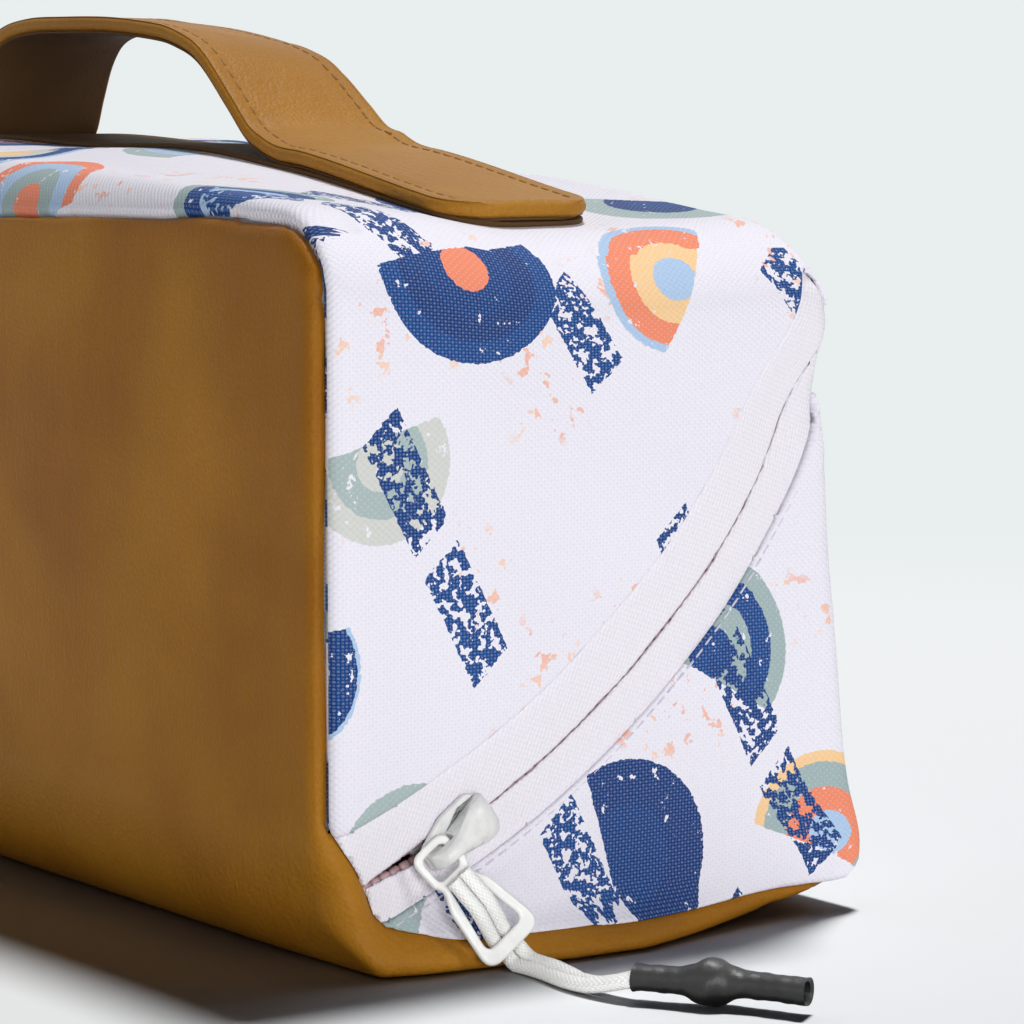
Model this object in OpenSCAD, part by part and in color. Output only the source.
// Clamshell shoe bag: a padded lid and a padded base, joined by a leather fold
// along the front bottom edge and closed by a zip round the other three sides.
// X runs along the bag, Y from the front to the back, Z up from the table.

/* [Bag] */
// Length over the two end faces
bag_l = 330; // [260:1:400]
// Height of the top at the ends
end_h = 152; // [120:1:190]
// Rise of the top from the ends to the middle
crown = 6; // [3:0.5:12]
// Front face, measured from the frame's centre plane
front_y = 65.5; // [52:0.5:80]
// Back face at the bottom, measured from the centre plane
back_bottom_y = 68; // [56:0.5:84]
// Back face at the top, measured from the centre plane
back_top_y = 59.5; // [50:0.5:78]
// Rise of the bottom seam at the ends and at the back
edge_lift = 5.5; // [3:0.5:9]

/* [Corner radii] */
// Fold between the top and each end
end_fold_r = 20; // [10:0.5:30]
// Edge between the front and the top
front_top_r = 13; // [8:0.5:20]
// Edge between the back and the top
back_top_r = 26; // [12:0.5:34]
// Edge between the front and the bottom
front_bottom_r = 15; // [10:0.5:20]
// Sharp edges at the back and round the bottom
small_r = 6; // [5.5:0.5:9]

/* [Layers] */
// Thickness of the leather
leather_t = 1.2; // [0.8:0.1:1.6]
// Thickness of the outer fabric
fabric_t = 0.8; // [0.5:0.1:1.2]
// Thickness of the foam padding
foam_t = 3; // [2:0.5:4]
// Thickness of the lining
lining_t = 0.4; // [0.2:0.1:0.6]
// Thickness of the stiff board in the bottom
board_t = 1.5; // [1:0.5:3]
// How far the leather turns round an edge
leather_wrap = 3; // [2:0.5:5]
// Height of the seam between the bottom leather and the fabric
seam_z = 7.5; // [6:0.5:12]
// Drop of the leather panel's top edge below the top's ends
panel_drop = 5; // [4:0.5:40]
// Rounding of the leather panel's top corners
panel_r = 24; // [10:1:40]
// Width of the tape that binds the inner seams
binding_w = 8; // [5:1:12]

/* [Zip] */
// Height of the fold line where the lid hinges
hinge_z = 15; // [13:0.5:24]
// Drop of the zip along the back below the top's ends
zip_drop = 32; // [28:1:60]
// Radius of the zip's sweep over each end
zip_r = 207.6; // [170:0.2:320]
// Width of the tape that shows on each side of the slit
tape_show = 12; // [8:0.5:14]
// Width of tape hidden under the fabric
tape_seam = 4; // [2:0.5:6]
// Thickness of the tape
tape_t = 0.6; // [0.4:0.1:0.8]
// Diameter of the coil
coil_d = 2.2; // [1.6:0.1:2.6]
// Clear slit between the two halves of the zip
slit = 1.6; // [1.2:0.1:2.4]
// Clear strip without padding on each side of the slit
pad_setback = 17; // [15:0.5:22]

/* [Slider] */
// Length of the slider along the zip
slider_l = 17; // [14:0.5:20]
// Width of the slider across the zip
slider_w = 10.4; // [8:0.2:12]
// Thickness of the slider's plates
plate_t = 1.4; // [1:0.1:2]
// Running clearance of the slider on the tape and coil
slide_gap = 0.4; // [0.3:0.05:0.6]
// Width of the post between the plates
post_w = 1; // [0.6:0.1:1.2]
// Turn of the slider from the line of the zip, as its soft tape bends
slider_turn = 10; // [-12:1:12]
// Thickness of the bridge's foot, inside the puller's ring
foot_l = 3.5; // [2:0.1:4]
// Width of the bridge over its bore
bridge_w = 3.4; // [2.4:0.1:4.4]
// Thickness of the bridge's roof
bridge_t = 1.2; // [0.8:0.1:1.8]
// Width of the cap behind the bridge's bore
cap_w = 7.6; // [5:0.2:8]
// Length of zip that lies open between its start and the slider's centre
open_l = 25.1; // [18:0.1:90]

/* [Puller] */
// Thickness of the puller
puller_t = 1.6; // [1.2:0.1:2.4]
// Distance from the puller's ring bar to its far end
puller_l = 26.4; // [22:0.2:30]
// Width of the puller at its far end
puller_w = 15.6; // [12:0.2:17]
// Width of the hole in the puller's ring
ring_in_w = 6.2; // [6:0.1:8]
// Width of the puller's ring bar and of its two legs
ring_wire = 1.6; // [1.2:0.1:2]
// Angle at which the puller hangs away from the bag
puller_a = 21; // [20:1:40]
// Diameter of the cord
cord_d = 3; // [2:0.1:3.4]
// Length of the sleeve on the cord
sleeve_l = 35; // [25:1:45]
// Thickness of the sleeve
sleeve_wall = 0.6; // [0.4:0.1:1]
// How far the knot swells the sleeve
knot_swell = 0.7; // [0.4:0.1:1.6]

/* [Handle] */
// Width of the strap
strap_w = 38; // [28:1:50]
// Sideways place of the strap's middle
strap_y = -2.5; // [-8:0.5:8]
// How far each foot of the strap reaches past the start of the end fold
strap_past = 4; // [-20:1:6]
// Distance between the creases where the arch begins
arch_l = 154; // [110:1:180]
// Rise of the arch above the crown of the top
arch_h = 34; // [24:1:50]
// Thickness of each leather layer of the strap
strap_leather_t = 1.2; // [0.8:0.1:1.6]
// Thickness of the strap's core
strap_core_t = 1.2; // [0.8:0.1:2]
// Rounding of the strap's corners
strap_end_r = 12; // [4:1:18]

/* [Hidden] */
$fn = 96;
far = 600;
// Edge of the strap's core, inside the leather
core_in = 2;
strap_total_t = 2 * strap_leather_t + strap_core_t;
// Space between the two strands, and between them and the sleeve
strand_space = 0.2;
sleeve_space = 0.1;
// Space between the knot and the sleeve
knot_space = 0.2;
strand_gap = cord_d + strand_space;
sleeve_r = (strand_gap + cord_d) / 2 + sleeve_space + sleeve_wall;
knot_r = sleeve_r + knot_swell;
// Angle that each zip stop covers on the sweep
stop_a = 0.9;
// Clearance of the board inside the walls, and the height it stays under
board_in = 6;
board_h = 12;
top_z = end_h + crown;
cover_t = max(leather_t, fabric_t);
lining_in = cover_t + foam_t;
wall_t = lining_in + lining_t;

// Outlines are rings of circles, taken counter-clockwise: [x, y, radius].
// The crown circle touches both end folds from outside, so the top is one arc.
zip_back_z = end_h - zip_drop;
panel_top = end_h - panel_drop;
fold_x = bag_l / 2 - end_fold_r;
fold_z = end_h - end_fold_r;
crown_r = (fold_x * fold_x + pow(top_z - fold_z, 2) - pow(end_fold_r, 2))
        / (2 * (top_z - fold_z - end_fold_r));
strap_l = 2 * (fold_x + strap_past);
rise_r = 60;
rise_l = 45;
SIDE_VIEW = [
    [-bag_l / 2 + rise_l, rise_r, rise_r],
    [bag_l / 2 - rise_l, rise_r, rise_r],
    [bag_l / 2 - small_r, edge_lift + small_r, small_r],
    [fold_x, fold_z, end_fold_r],
    [0, top_z - crown_r, crown_r],
    [-fold_x, fold_z, end_fold_r],
    [-bag_l / 2 + small_r, edge_lift + small_r, small_r]
];
flat_top = top_z + 0.5;
END_VIEW = [
    [-front_y + front_bottom_r, front_bottom_r, front_bottom_r],
    [back_bottom_y - rise_l + 2, rise_r, rise_r],
    [back_bottom_y - small_r, edge_lift - 2 + small_r, small_r],
    [back_top_y - back_top_r, flat_top - back_top_r, back_top_r],
    [-front_y + front_top_r, flat_top - front_top_r, front_top_r]
];
PLAN_VIEW = [
    [-bag_l / 2 + small_r, -front_y + small_r, small_r],
    [bag_l / 2 - small_r, -front_y + small_r, small_r],
    [bag_l / 2 - small_r, back_bottom_y + 2 - small_r, small_r],
    [-bag_l / 2 + small_r, back_bottom_y + 2 - small_r, small_r]
];

function clamp1(v) = max(-1, min(1, v));
function unit(a) = [cos(a), sin(a)];
// Direction of the outward normal of the line that touches circles p and q
function touch_angle(p, q) =
    let (d = [q.x - p.x, q.y - p.y])
    atan2(d.y, d.x) - acos(clamp1((p.z - q.z) / norm(d)));
function wrap360(a) = a - 360 * floor(a / 360);
function arc_points(c, r, a0, sweep) =
    let (n = max(2, ceil(sweep / 11), ceil(sweep * PI / 180 * c.z / 24)))
    [for (k = [0:n]) [c.x, c.y] + r * unit(a0 + sweep * k / n)];
// The outline round a ring of circles, moved inward by inset
function outline(ring, inset) =
    let (n = len(ring))
    [for (i = [0:n - 1])
        let (a0 = touch_angle(ring[(i + n - 1) % n], ring[i]),
             a1 = touch_angle(ring[i], ring[(i + 1) % n]))
        each arc_points(ring[i], max(ring[i].z - inset, 0.1), a0, wrap360(a1 - a0))];

// The line of the back face, from its two touching circles
back_n = unit(touch_angle(END_VIEW[2], END_VIEW[3]));
back_d = [END_VIEW[2].x, END_VIEW[2].y] * back_n + small_r;
function back_y(z) = (back_d - back_n.y * z) / back_n.x;

// The zip's sweep: a circle through the fold line and the back run
coil_in = fabric_t + tape_t + coil_d / 2;
zip_p = [-front_y, hinge_z];
zip_q = [back_y(zip_back_z) - coil_in, zip_back_z];
zip_chord = zip_q - zip_p;
zip_reach = sqrt(zip_r * zip_r - zip_chord * zip_chord / 4);
zip_c = (zip_p + zip_q) / 2 + [-zip_chord.y, zip_chord.x] / norm(zip_chord) * zip_reach;
part_gap = 0.2;
split_y = back_top_y - 10;
tape_w = tape_show + tape_seam;
coil_off = slit / 2 + coil_d / 2;
coil_x = bag_l / 2 - coil_in;
zip_start_a = -acos((-front_y + small_r + 1 - zip_c.x) / zip_r);
slider_a = zip_start_a + open_l / zip_r * 180 / PI;

// Slider frame: x out of the end face, y away from the sweep's centre, z along the zip
skin_x = bag_l / 2 - fabric_t;
outer_plate_x = skin_x + slide_gap;
inner_plate_x = skin_x - tape_t - coil_d - slide_gap - plate_t;
plate_top = outer_plate_x + plate_t;
// The ring's leg is the pin: it runs through the bridge's bore, beside the bridge's foot
pin_gap = 0.25;
ring_gap = 0.6;
pin_r = norm([ring_wire, puller_t]) / 2;
bore_l = ring_wire + 1.4;
bore_z = -slider_l / 2 + foot_l + bore_l / 2;
pin_x = plate_top + pin_r + pin_gap;
ring_y = -bridge_w / 2 - ring_gap - ring_wire / 2;
bore_h = (bridge_w / 2 - ring_y) * tan(puller_a) + 2 * (pin_r + pin_gap);
bridge_h = bore_h + bridge_t;
leg_off = (ring_in_w + ring_wire) / 2;
ring_deep = (bridge_w + 2 * ring_gap) / cos(puller_a) + bridge_h * sin(puller_a) / 2;
neck_l = 2;
far_bar_l = 3.2;

module along_x(l) { rotate([90, 0, 90]) linear_extrude(l, center = true) children(); }
module along_y(l) { rotate([90, 0, 0]) linear_extrude(l, center = true) children(); }

// The bag's outer form, moved inward by inset
module form(inset) {
    intersection() {
        along_x(far) polygon(outline(END_VIEW, inset));
        along_y(far) polygon(outline(SIDE_VIEW, inset));
        linear_extrude(far, center = true) polygon(outline(PLAN_VIEW, inset));
    }
}
// A layer of the wall between two depths
module layer(from, to) {
    difference() {
        form(from);
        form(to);
    }
}
module sweep_drum(r) {
    translate([0, zip_c.x, zip_c.y]) rotate([0, 90, 0]) cylinder(r = r, h = far, center = true, $fn = 240);
}
module back_box(z0, z1) {
    l = bag_l - 2 * wall_t;
    translate([-l / 2, split_y, z0]) cube([l, far, z1 - z0]);
}
// What lies on the lid's side of the zip line, at least s from it
module lid_side(s) {
    difference() {
        sweep_drum(zip_r - s);
        back_box(-far, zip_back_z + s);
    }
    back_box(zip_back_z + s, far);
}
// What a base piece must leave out to stay s from the zip line
module not_base_side(s) {
    difference() {
        sweep_drum(zip_r + s);
        back_box(-far, far);
    }
    back_box(zip_back_z - s, far);
}

module lid_layer(from, to, s) {
    intersection() {
        layer(from, to);
        lid_side(s);
    }
}
module base_layer(from, to, s) {
    difference() {
        layer(from, to);
        not_base_side(s);
    }
}

// The area of fabric, seen from the end: the leather turns round the front and the bottom
module fabric_area() {
    intersection() {
        union() {
            polygon(outline(END_VIEW, leather_wrap));
            square([far, far]);
        }
        translate([-far, seam_z]) square([2 * far, far]);
    }
}
// The leather front's outline, with two rounded top corners
module panel_area() {
    half = bag_l / 2 + 5;
    corner = [bag_l / 2 - panel_r, panel_top - panel_r];
    difference() {
        translate([-half, -far]) square([2 * half, far + panel_top]);
        for (s = [-1, 1]) scale([s, 1]) translate(corner) difference() {
            square([far, far]);
            circle(panel_r);
        }
    }
}
module leather_front() {
    intersection() {
        along_y(far) panel_area();
        translate([-far / 2, -front_y - 5, -1]) cube([far, leather_wrap + 5, far]);
    }
}

// Lid
module front_leather_panel() {
    color("peru") intersection() {
        lid_layer(0, leather_t, part_gap);
        leather_front();
    }
}
module upper_fabric_shell() {
    color("ghostwhite") difference() {
        lid_layer(0, fabric_t, tape_show);
        leather_front();
    }
}
module lid_foam() { color("gainsboro") lid_layer(cover_t, lining_in, pad_setback); }
module lid_lining() { color("slategray") lid_layer(lining_in, wall_t, tape_w + 1); }
module lid_seam_binding() {
    color("dimgray") intersection() {
        lid_layer(wall_t, wall_t + lining_t, tape_w + 1);
        translate([-far / 2, -front_y, panel_top - binding_w]) cube([far, front_top_r, binding_w]);
    }
}
module zip_tape_upper() {
    color("white") difference() {
        lid_layer(fabric_t, fabric_t + tape_t, slit / 2);
        lid_side(tape_w);
        leather_front();
    }
}
// One half of the coil on the +X end, from the fold line up to the back run
module coil_sweep(r, a0, a1) {
    translate([coil_x, zip_c.x, zip_c.y]) rotate([90, 0, 90]) rotate(a0)
        rotate_extrude(angle = a1 - a0) translate([r, 0]) circle(d = coil_d, $fn = 24);
}
module rod(p, q, d) {
    v = q - p;
    translate(p) rotate([0, acos(v.z / norm(v)), atan2(v.y, v.x)]) cylinder(d = d, h = norm(v), $fn = 24);
}
// side is -1 for the lid's half and 1 for the base's half
module zip_coil(side) {
    r = zip_r + side * coil_off;
    run_z = zip_back_z - side * coil_off;
    run_y = back_y(run_z) - coil_in / back_n.x;
    run_x = coil_x - 4;
    end_a = -acos((zip_q.x - zip_c.x - 1.5) / r);
    sweep_end = [coil_x, zip_c.x + r * cos(end_a + 0.2), zip_c.y + r * sin(end_a - 0.2)];
    for (s = [-1, 1]) scale([s, 1, 1]) {
        coil_sweep(r, zip_start_a + stop_a, end_a);
        rod(sweep_end, [run_x - 1, run_y, run_z], coil_d * 0.8);
    }
    translate([0, run_y, run_z]) rotate([0, 90, 0]) cylinder(d = coil_d, h = 2 * run_x, center = true, $fn = 24);
}
// Blocks that end each half of the coil beside the fold line
module zip_stops(side) {
    for (s = [-1, 1]) scale([s, 1, 1])
        translate([coil_x, zip_c.x, zip_c.y]) rotate([90, 0, 90]) rotate(zip_start_a)
            rotate_extrude(angle = stop_a - 0.05) translate([zip_r + side * coil_off, 0])
                square([coil_d, coil_d], center = true);
}
module zip_coil_upper() { color("rosybrown") zip_coil(-1); }
module zip_coil_lower() { color("rosybrown") zip_coil(1); }
module zip_stop_upper() { color("whitesmoke") zip_stops(-1); }
module zip_stops_lower() { color("whitesmoke") zip_stops(1); }

// Handle: flat strips seen from the front, as bands above the crown of the top
module crown_band(from, to) {
    translate([0, top_z - crown_r]) difference() {
        circle(crown_r + to, $fn = 720);
        circle(crown_r + from, $fn = 720);
    }
}
// The strap's own band, from its foot up over the arch and down again
module strap_band(from, to) {
    foot = strap_leather_t;
    crease = [arch_l / 2, top_z - crown_r + sqrt(pow(crown_r + foot, 2) - pow(arch_l / 2, 2))];
    rise = arch_h - strap_total_t + top_z - crease.y;
    arch_r = (pow(crease.x, 2) + rise * rise) / (2 * rise);
    arch_z = crease.y + rise - arch_r;
    miter = 90 - (asin(crease.x / arch_r) + asin(crease.x / (crown_r + foot))) / 2;
    intersection() {
        crown_band(foot + from, foot + to);
        for (s = [-1, 1]) scale([s, 1]) translate(crease) rotate(miter)
            translate([-far, -far]) square([2 * far, far]);
    }
    difference() {
        translate([0, arch_z]) circle(arch_r + to, $fn = 240);
        translate([0, arch_z]) circle(arch_r + from, $fn = 240);
        translate([-far, arch_z - 2 * far]) square([2 * far, 2 * far]);
        for (s = [-1, 1]) scale([s, 1]) translate(crease) rotate(miter)
            translate([-far, -far]) square([2 * far, far]);
    }
}
// Cuts a strip to its width, with rounded ends
module strap_cut(l, w) {
    r = strap_end_r * w / strap_w;
    intersection() {
        translate([0, strap_y, 0]) along_y(w) children();
        translate([0, strap_y, 0]) linear_extrude(far) polygon(outline([
            [-l / 2 + r, -w / 2 + r, r], [l / 2 - r, -w / 2 + r, r],
            [l / 2 - r, w / 2 - r, r], [-l / 2 + r, w / 2 - r, r]], 0));
    }
}
module handle_base_strip() { color("goldenrod") strap_cut(strap_l, strap_w) crown_band(0, strap_leather_t); }
module handle_lining() {
    color("saddlebrown") strap_cut(strap_l, strap_w) strap_band(0, strap_leather_t);
}
module handle_core() {
    color("beige") strap_cut(strap_l - 2 * core_in, strap_w - 2 * core_in)
        strap_band(strap_leather_t, strap_leather_t + strap_core_t);
}
module handle_strap() {
    color("goldenrod") difference() {
        strap_cut(strap_l, strap_w) strap_band(strap_leather_t, strap_total_t);
        strap_cut(strap_l - 2 * core_in, strap_w - 2 * core_in)
            strap_band(0, strap_leather_t + strap_core_t);
    }
}

// Base
module bottom_leather_panel() {
    color("peru") difference() {
        base_layer(0, leather_t, part_gap);
        along_x(far) fabric_area();
    }
}
module lower_fabric_shell() {
    color("ghostwhite") intersection() {
        base_layer(0, fabric_t, tape_show);
        along_x(far) fabric_area();
    }
}
module base_foam() { color("gainsboro") base_layer(cover_t, lining_in, pad_setback); }
module base_lining() { color("slategray") base_layer(lining_in, wall_t, tape_w + 1); }
module base_board() {
    color("black") intersection() {
        layer(wall_t, wall_t + board_t);
        board_l = bag_l - 2 * (wall_t + board_in);
        translate([-board_l / 2, -front_y + front_bottom_r, 0])
            cube([board_l, back_bottom_y + front_y - front_bottom_r - wall_t - board_in, board_h]);
    }
}
module base_seam_binding() {
    color("dimgray") intersection() {
        base_layer(wall_t, wall_t + lining_t, tape_w + 1);
        translate([-far / 2, -front_y + front_bottom_r, board_h + 1]) cube([far, far, binding_w]);
    }
}
module zip_tape_lower() {
    color("white") intersection() {
        difference() {
            base_layer(fabric_t, fabric_t + tape_t, slit / 2);
            translate([0, 0, zip_back_z - tape_w - far / 2])
                cube([bag_l - 2 * wall_t, far, far], center = true);
        }
        sweep_drum(zip_r + tape_w);
        along_x(far) fabric_area();
    }
}

// Slider: its post runs true to the zip, and its plates and bridge are turned a little
module on_zip() {
    translate([0, zip_c.x, zip_c.y]) rotate([slider_a, 0, 0]) translate([0, zip_r, 0]) children();
}
module on_slider() { on_zip() rotate([slider_turn, 0, 0]) children(); }
module plate(x) {
    translate([x, 0, 0]) rotate([90, 0, 90]) linear_extrude(plate_t) intersection() {
        square([slider_w, slider_l], center = true);
        circle(slider_l / 2 + 1, $fn = 48);
    }
}
module slider_body() {
    channel_x = inner_plate_x + plate_t;
    color("snow") {
        on_slider() {
            plate(outer_plate_x);
            plate(inner_plate_x);
        }
        on_zip() {
            translate([channel_x - 0.2, -post_w / 2, -slider_l / 2 + 2.5])
                cube([outer_plate_x - channel_x + 0.4, post_w, slider_l / 4]);
            translate([channel_x - 0.2, slit / 2 + coil_d + slide_gap, -slider_l / 6])
                cube([coil_d + 0.2, 1, slider_l / 3]);
        }
    }
}
module slider_bridge() {
    l = slider_l - 0.5;
    cap_z = bore_z + bore_l / 2;
    color("snow") on_slider() {
        translate([plate_top, 0, 0]) rotate([90, 0, 0]) linear_extrude(bridge_w, center = true) difference() {
            polygon([[0, -l / 2], [bridge_h - 1.4, -l / 2], [bridge_h, 1.4 - l / 2],
                [bridge_h, cap_z + 1], [0, cap_z + 1]]);
            translate([-1, bore_z - bore_l / 2]) square([bore_h + 1, bore_l]);
        }
        translate([plate_top, 0, cap_z]) linear_extrude(l / 2 - cap_z) polygon([
            [0, -cap_w / 2], [bridge_h - 1.2, -cap_w / 2], [bridge_h, 1.2 - cap_w / 2],
            [bridge_h, cap_w / 2 - 1.2], [bridge_h - 1.2, cap_w / 2], [0, cap_w / 2]]);
    }
}

// Puller, drawn flat: x along its length from the ring bar, y across it
module on_puller() {
    on_slider() translate([pin_x, ring_y, bore_z - leg_off]) rotate(-puller_a) rotate([90, 0, 90]) children();
}
function window(x0, x1, w0, w1, r) = outline([
    [x0 + r, -w0 / 2 + r, r], [x1 - r, -w1 / 2 + r, r], [x1 - r, w1 / 2 - r, r], [x0 + r, w0 / 2 - r, r]], 0);
module puller_frame() {
    ring_w = ring_in_w + 2 * ring_wire;
    ring_end = ring_wire / 2 + ring_deep;
    color("snow") on_puller() linear_extrude(puller_t, center = true) difference() {
        union() {
            polygon(window(-ring_wire / 2, ring_end + neck_l, ring_w, ring_w, 2.5));
            polygon(window(ring_end - 1.5, puller_l, ring_w, puller_w, 2.5));
        }
        polygon(window(ring_wire / 2, ring_end, ring_in_w, ring_in_w, 1.2));
        polygon(window(ring_end + neck_l, puller_l - far_bar_l, ring_in_w, puller_w - 5, 1.6));
    }
}

// Cord: two strands side by side along one route, chosen by hand
// It leaves the puller's neck, dips under the far bar and runs out over the table.
CORD_ROUTE = [
    [172.6, -39.5, 20.2], [173.2, -38.4, 18.7], [174, -37, 16.7], [174.5, -35.5, 14.8],
    [174.4, -34.2, 13], [174, -32.9, 11.2], [173.5, -31.7, 9.6], [173.1, -30.5, 7.9],
    [173.2, -29.2, 6.2], [174, -28, 4.7], [175.4, -27.2, 3.1], [177.5, -26.7, 1.9],
    [180.4, -26.6, 1.6], [185, -26.7, 1.6], [190.5, -27, 1.6], [196, -27.3, 1.7],
    [201, -27, 2], [205.6, -26, 3], [209.7, -24.4, 4.2], [213.8, -21.6, 4.7],
    [221.8, -16, 4.7]
];
sleeve_at = [210.5, -23.9, 4.7];
sleeve_turn = 35;
function unit3(v) = v / norm(v);
function along(pts, i) = unit3(pts[min(i + 1, len(pts) - 1)] - pts[max(i - 1, 0)]);
// Side by side across the puller at first, and level on the table further out
function across(pts, i) =
    let (w = max(0, min(1, (pts[i].x - 175) / 8)), level = unit3(cross([0, 0, 1], along(pts, i))))
    unit3((1 - w) * [0, -sin(slider_a + slider_turn), cos(slider_a + slider_turn)] + w * level);
module tube(pts, d, sides) {
    n = len(pts);
    rings = [for (i = [0:n - 1]) let (t = along(pts, i), w = unit3(cross(across(pts, i), t)), u = cross(t, w))
        each [for (k = [0:sides - 1]) pts[i] + d / 2 * (cos(360 * k / sides) * u + sin(360 * k / sides) * w)]];
    walls = [for (i = [0:n - 2], k = [0:sides - 1]) let (a = i * sides, b = (k + 1) % sides)
        [a + k, a + b, a + sides + b, a + sides + k]];
    first = [for (k = [0:sides - 1]) sides - 1 - k];
    last = [for (k = [0:sides - 1]) (n - 1) * sides + k];
    polyhedron(rings, concat(walls, [first, last]));
}
module pull_cord() {
    n = len(CORD_ROUTE);
    color("white") for (s = [-1, 1])
        tube([for (i = [0:n - 1]) CORD_ROUTE[i] + s * strand_gap / 2 * across(CORD_ROUTE, i)], cord_d, 8);
}

// Sleeve shrunk over the cord's ends and their knot
knot_x = sleeve_l / 2;
knot_reach = 9;
function sleeve_bulge(x) = let (u = clamp1((x - knot_x) / knot_reach)) (1 + cos(180 * u)) / 2;
function sleeve_line(from, to, inset) =
    [for (k = [0:16]) let (x = from + (to - from) * k / 16)
        [sleeve_r + (knot_r - sleeve_r) * sleeve_bulge(x) - inset, x]];
module on_sleeve() { translate(sleeve_at) rotate([0, 0, sleeve_turn]) rotate([0, 90, 0]) children(); }
module cord_sleeve() {
    color("black") on_sleeve() rotate_extrude() polygon(concat(
        sleeve_line(0, sleeve_l, 0), [[0, sleeve_l], [0, sleeve_l - 1]],
        sleeve_line(sleeve_l - 1, 0, sleeve_wall)));
}
module cord_knot() {
    color("white") on_sleeve() translate([0, 0, knot_x]) sphere(knot_r - sleeve_wall - knot_space, $fn = 48);
}

front_leather_panel();
upper_fabric_shell();
lid_foam();
lid_lining();
lid_seam_binding();
zip_tape_upper();
zip_coil_upper();
zip_stop_upper();
handle_base_strip();
handle_lining();
handle_core();
handle_strap();
bottom_leather_panel();
lower_fabric_shell();
base_foam();
base_lining();
base_board();
base_seam_binding();
zip_tape_lower();
zip_coil_lower();
zip_stops_lower();
slider_body();
slider_bridge();
puller_frame();
pull_cord();
cord_sleeve();
cord_knot();
